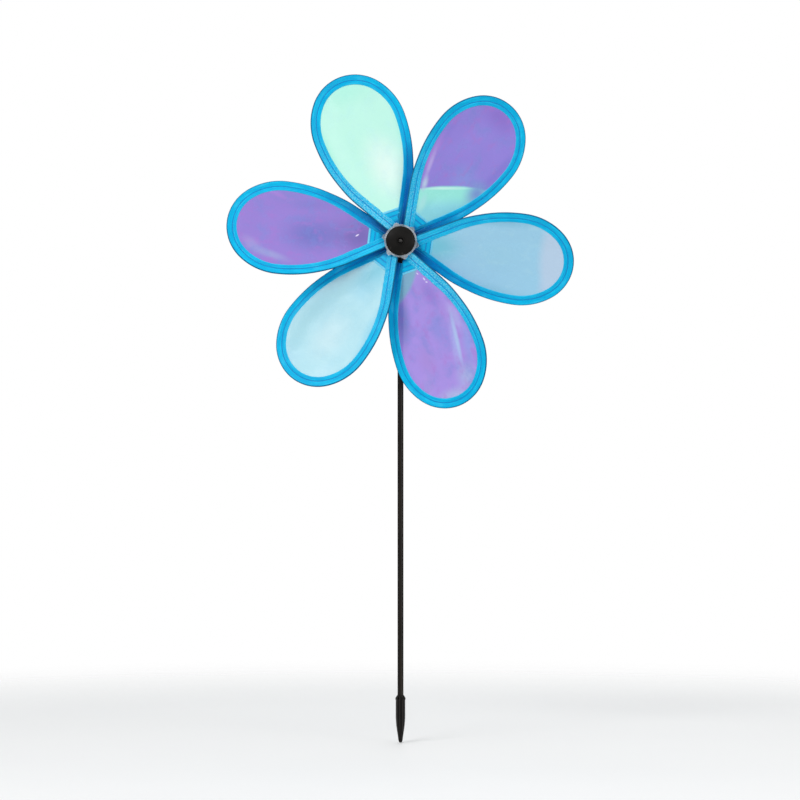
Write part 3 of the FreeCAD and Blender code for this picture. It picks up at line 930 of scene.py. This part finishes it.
def make_floor(low):
    """A pale round floor that fades out to the white surroundings, and shows only from above."""
    paint = Paint("pale_floor", Roughness=0.7)
    mottle = paint.noise(paint.place(), 3.0, 3.0)
    paint.finish(paint.mix(mottle, colour(246, 246, 246), colour(250, 250, 249)))
    reach = paint.node("VectorMath", {"operation": "LENGTH"}, Vector=paint.place()).outputs["Value"]
    fade = paint.ramp(reach, 0.5, 1.3, 0.0, 1.0)
    behind = paint.node("NewGeometry").outputs["Backfacing"]
    clear = paint.maths("MAXIMUM", fade, behind)
    blend = paint.node("MixShader", Fac=clear)
    paint.put(blend.inputs[1], paint.shader.outputs[0])
    paint.put(blend.inputs[2], paint.node("BsdfTransparent").outputs[0])
    paint.put(paint.tree.nodes["Material Output"].inputs["Surface"], blend.outputs[0])
    mesh = bpy.data.meshes.new("floor")
    shape = bmesh.new()
    bmesh.ops.create_circle(shape, cap_ends=True, radius=1.4, segments=96)
    shape.to_mesh(mesh)
    shape.free()
    floor = bpy.data.objects.new("floor", mesh)
    bpy.context.scene.collection.objects.link(floor)
    floor.location = (0, 0, low - FLOOR_GAP)
    floor.data.materials.append(paint.material)


def make_world():
    """White to the eye, and a soft grey light on the object so that dark plastic stays dark."""
    world = bpy.data.worlds.new("studio")
    bpy.context.scene.world = world
    world.use_nodes = True
    tree = world.node_tree
    tree.nodes.clear()
    seen = tree.nodes.new("ShaderNodeBackground")
    seen.inputs["Color"].default_value = (1, 1, 1, 1)
    light = tree.nodes.new("ShaderNodeBackground")
    light.inputs["Color"].default_value = (0.95, 0.98, 1.0, 1)
    light.inputs["Strength"].default_value = 0.40
    path = tree.nodes.new("ShaderNodeLightPath")
    mix = tree.nodes.new("ShaderNodeMixShader")
    out = tree.nodes.new("ShaderNodeOutputWorld")
    tree.links.new(path.outputs["Is Camera Ray"], mix.inputs[0])
    tree.links.new(light.outputs[0], mix.inputs[1])
    tree.links.new(seen.outputs[0], mix.inputs[2])
    tree.links.new(mix.outputs[0], out.inputs["Surface"])


def make_softbox(name, place, target, size, power):
    data = bpy.data.lights.new(name, "AREA")
    data.shape = "RECTANGLE"
    data.size = size[0]
    data.size_y = size[1]
    data.energy = power
    lamp = bpy.data.objects.new(name, data)
    bpy.context.scene.collection.objects.link(lamp)
    lamp.location = place
    lamp.rotation_euler = (Vector(target) - Vector(place)).to_track_quat("-Z", "Y").to_euler()


def make_lights(hub):
    aim = (0, 0, 0.3)
    make_softbox("key", (-1.5, -2.2, 2.0), hub, (1.4, 1.4), 40)
    make_softbox("fill", (1.8, -2.2, 0.8), aim, (1.2, 1.6), 21)
    make_softbox("back", (0.6, 2.2, 1.5), hub, (1.6, 1.2), 12)
    make_softbox("top", (0, 0, 2.4), aim, (2.4, 2.4), 18)


def make_camera(hub):
    """Far off and straight in front, level with the upper part of the stake: hardly any foreshortening."""
    data = bpy.data.cameras.new("camera")
    data.sensor_width = 36.0
    data.lens = 162.5
    camera = bpy.data.objects.new("camera", data)
    bpy.context.scene.collection.objects.link(camera)
    camera.location = (-0.00055, hub.y - 3.973, hub.z - 0.1748)
    camera.rotation_euler = (math.radians(90), 0, 0)
    bpy.context.scene.camera = camera
    bpy.context.scene.view_settings.view_transform = "Standard"


def main():
    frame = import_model()
    cad_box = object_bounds()
    hub = Vector(frame["joints"][0]["pos_m"])
    hem_tape = hem_material()
    thread = thread_material()
    for number in range(PETALS):
        build_petal(number, hub, hem_tape, thread)
    dress_cad_nodes(frame["nodes"])
    make_floor(cad_box[0].z)
    make_world()
    make_lights(hub)
    make_camera(hub)


main()
